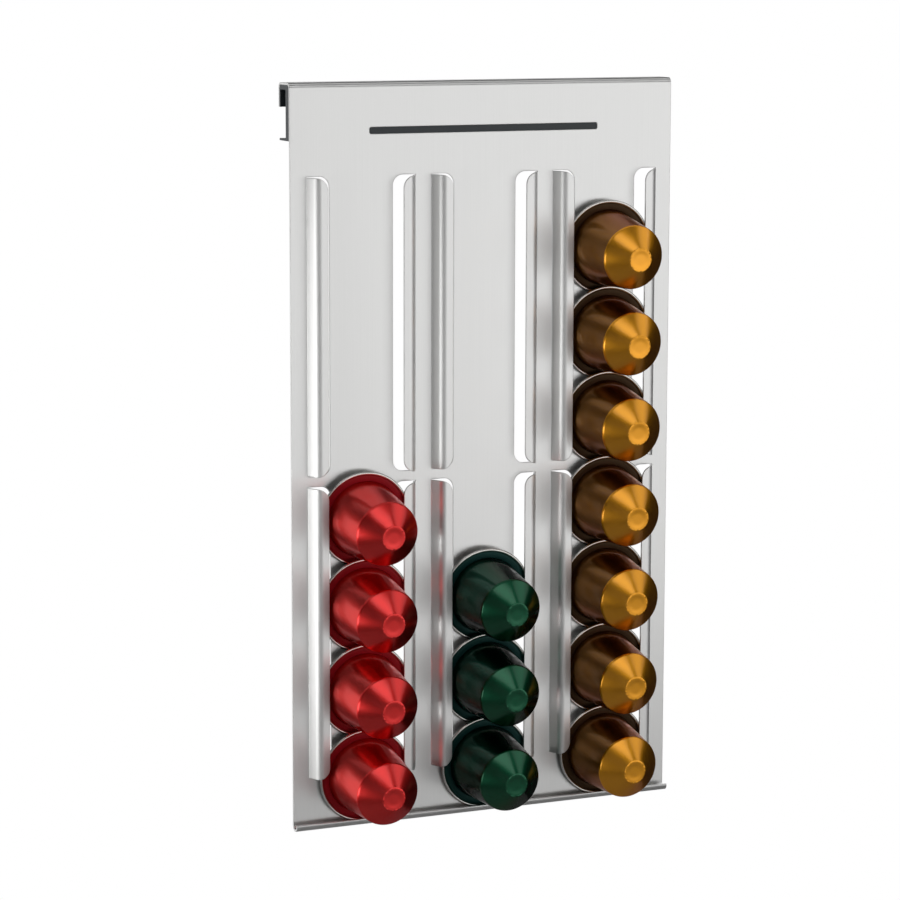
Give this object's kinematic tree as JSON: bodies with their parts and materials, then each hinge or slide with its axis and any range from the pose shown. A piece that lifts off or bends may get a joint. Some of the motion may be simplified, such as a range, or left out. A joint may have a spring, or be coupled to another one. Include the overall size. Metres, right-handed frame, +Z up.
{
  "type": "coffee capsule dispenser",
  "caption": "Folded stainless plate that hooks over a wall rail and holds columns of coffee capsules by their rims between lanced lips, over a shallow gutter.",
  "frame": {"origin": "Middle of the seat: the liner's face that rests on the top edge of the rail, half way along the plate and half way across the rail slot.", "axes": "+X to the right seen from the front, -Y out of the front towards the user, +Z up along the plate."},
  "size_m": [0.158, 0.0428, 0.283],
  "materials": {
    "brushed_stainless": "stainless sheet, brushed up and down",
    "liner_plastic": "dark grey moulded plastic, fine satin",
    "red_anodised": "satin red anodised drawn aluminium, bare rolled rim",
    "green_anodised": "satin dark green anodised drawn aluminium, bare rolled rim",
    "gold_anodised": "satin gold anodised drawn aluminium, bare rolled rim",
    "red_seal": "thin dull sealing ring over the red flange",
    "green_seal": "thin dull sealing ring over the green flange",
    "gold_seal": "thin dull sealing ring over the gold flange",
    "lid_foil": "plain bright lidding foil",
    "ground_coffee": "dark ground coffee"
  },
  "bodies": {
    "holder": {"plate": "brushed_stainless", "rail_liner": "liner_plastic"},
    "red_capsule_1": {"red_capsule_1_shell": "red_anodised", "red_capsule_1_foil": "lid_foil", "red_capsule_1_coffee": "ground_coffee", "red_capsule_1_seal": "red_seal"},
    "red_capsule_2": {"red_capsule_2_shell": "red_anodised", "red_capsule_2_foil": "lid_foil", "red_capsule_2_coffee": "ground_coffee", "red_capsule_2_seal": "red_seal"},
    "red_capsule_3": {"red_capsule_3_shell": "red_anodised", "red_capsule_3_foil": "lid_foil", "red_capsule_3_coffee": "ground_coffee", "red_capsule_3_seal": "red_seal"},
    "red_capsule_4": {"red_capsule_4_shell": "red_anodised", "red_capsule_4_foil": "lid_foil", "red_capsule_4_coffee": "ground_coffee", "red_capsule_4_seal": "red_seal"},
    "green_capsule_1": {"green_capsule_1_shell": "green_anodised", "green_capsule_1_foil": "lid_foil", "green_capsule_1_coffee": "ground_coffee", "green_capsule_1_seal": "green_seal"},
    "green_capsule_2": {"green_capsule_2_shell": "green_anodised", "green_capsule_2_foil": "lid_foil", "green_capsule_2_coffee": "ground_coffee", "green_capsule_2_seal": "green_seal"},
    "green_capsule_3": {"green_capsule_3_shell": "green_anodised", "green_capsule_3_foil": "lid_foil", "green_capsule_3_coffee": "ground_coffee", "green_capsule_3_seal": "green_seal"},
    "gold_capsule_1": {"gold_capsule_1_shell": "gold_anodised", "gold_capsule_1_foil": "lid_foil", "gold_capsule_1_coffee": "ground_coffee", "gold_capsule_1_seal": "gold_seal"},
    "gold_capsule_2": {"gold_capsule_2_shell": "gold_anodised", "gold_capsule_2_foil": "lid_foil", "gold_capsule_2_coffee": "ground_coffee", "gold_capsule_2_seal": "gold_seal"},
    "gold_capsule_3": {"gold_capsule_3_shell": "gold_anodised", "gold_capsule_3_foil": "lid_foil", "gold_capsule_3_coffee": "ground_coffee", "gold_capsule_3_seal": "gold_seal"},
    "gold_capsule_4": {"gold_capsule_4_shell": "gold_anodised", "gold_capsule_4_foil": "lid_foil", "gold_capsule_4_coffee": "ground_coffee", "gold_capsule_4_seal": "gold_seal"},
    "gold_capsule_5": {"gold_capsule_5_shell": "gold_anodised", "gold_capsule_5_foil": "lid_foil", "gold_capsule_5_coffee": "ground_coffee", "gold_capsule_5_seal": "gold_seal"},
    "gold_capsule_6": {"gold_capsule_6_shell": "gold_anodised", "gold_capsule_6_foil": "lid_foil", "gold_capsule_6_coffee": "ground_coffee", "gold_capsule_6_seal": "gold_seal"},
    "gold_capsule_7": {"gold_capsule_7_shell": "gold_anodised", "gold_capsule_7_foil": "lid_foil", "gold_capsule_7_coffee": "ground_coffee", "gold_capsule_7_seal": "gold_seal"}
  },
  "joints": [
    {"name": "red_1_lift", "type": "slide", "parent": "holder", "child": "red_capsule_1", "axis": [0, 0, 1], "range_m": [0, 0.2504]},
    {"name": "red_2_lift", "type": "slide", "parent": "red_capsule_1", "child": "red_capsule_2", "axis": [0, 0, 1], "range_m": [0, 0.2172]},
    {"name": "red_3_lift", "type": "slide", "parent": "red_capsule_2", "child": "red_capsule_3", "axis": [0, 0, 1], "range_m": [0, 0.184]},
    {"name": "red_4_lift", "type": "slide", "parent": "red_capsule_3", "child": "red_capsule_4", "axis": [0, 0, 1], "range_m": [0, 0.1509]},
    {"name": "green_1_lift", "type": "slide", "parent": "holder", "child": "green_capsule_1", "axis": [0, 0, 1], "range_m": [0, 0.2504]},
    {"name": "green_2_lift", "type": "slide", "parent": "green_capsule_1", "child": "green_capsule_2", "axis": [0, 0, 1], "range_m": [0, 0.2172]},
    {"name": "green_3_lift", "type": "slide", "parent": "green_capsule_2", "child": "green_capsule_3", "axis": [0, 0, 1], "range_m": [0, 0.184]},
    {"name": "gold_1_lift", "type": "slide", "parent": "holder", "child": "gold_capsule_1", "axis": [0, 0, 1], "range_m": [0, 0.2504]},
    {"name": "gold_2_lift", "type": "slide", "parent": "gold_capsule_1", "child": "gold_capsule_2", "axis": [0, 0, 1], "range_m": [0, 0.2172]},
    {"name": "gold_3_lift", "type": "slide", "parent": "gold_capsule_2", "child": "gold_capsule_3", "axis": [0, 0, 1], "range_m": [0, 0.184]},
    {"name": "gold_4_lift", "type": "slide", "parent": "gold_capsule_3", "child": "gold_capsule_4", "axis": [0, 0, 1], "range_m": [0, 0.1509]},
    {"name": "gold_5_lift", "type": "slide", "parent": "gold_capsule_4", "child": "gold_capsule_5", "axis": [0, 0, 1], "range_m": [0, 0.1177]},
    {"name": "gold_6_lift", "type": "slide", "parent": "gold_capsule_5", "child": "gold_capsule_6", "axis": [0, 0, 1], "range_m": [0, 0.0846]},
    {"name": "gold_7_lift", "type": "slide", "parent": "gold_capsule_6", "child": "gold_capsule_7", "axis": [0, 0, 1], "range_m": [0, 0.0514]}
  ]
}
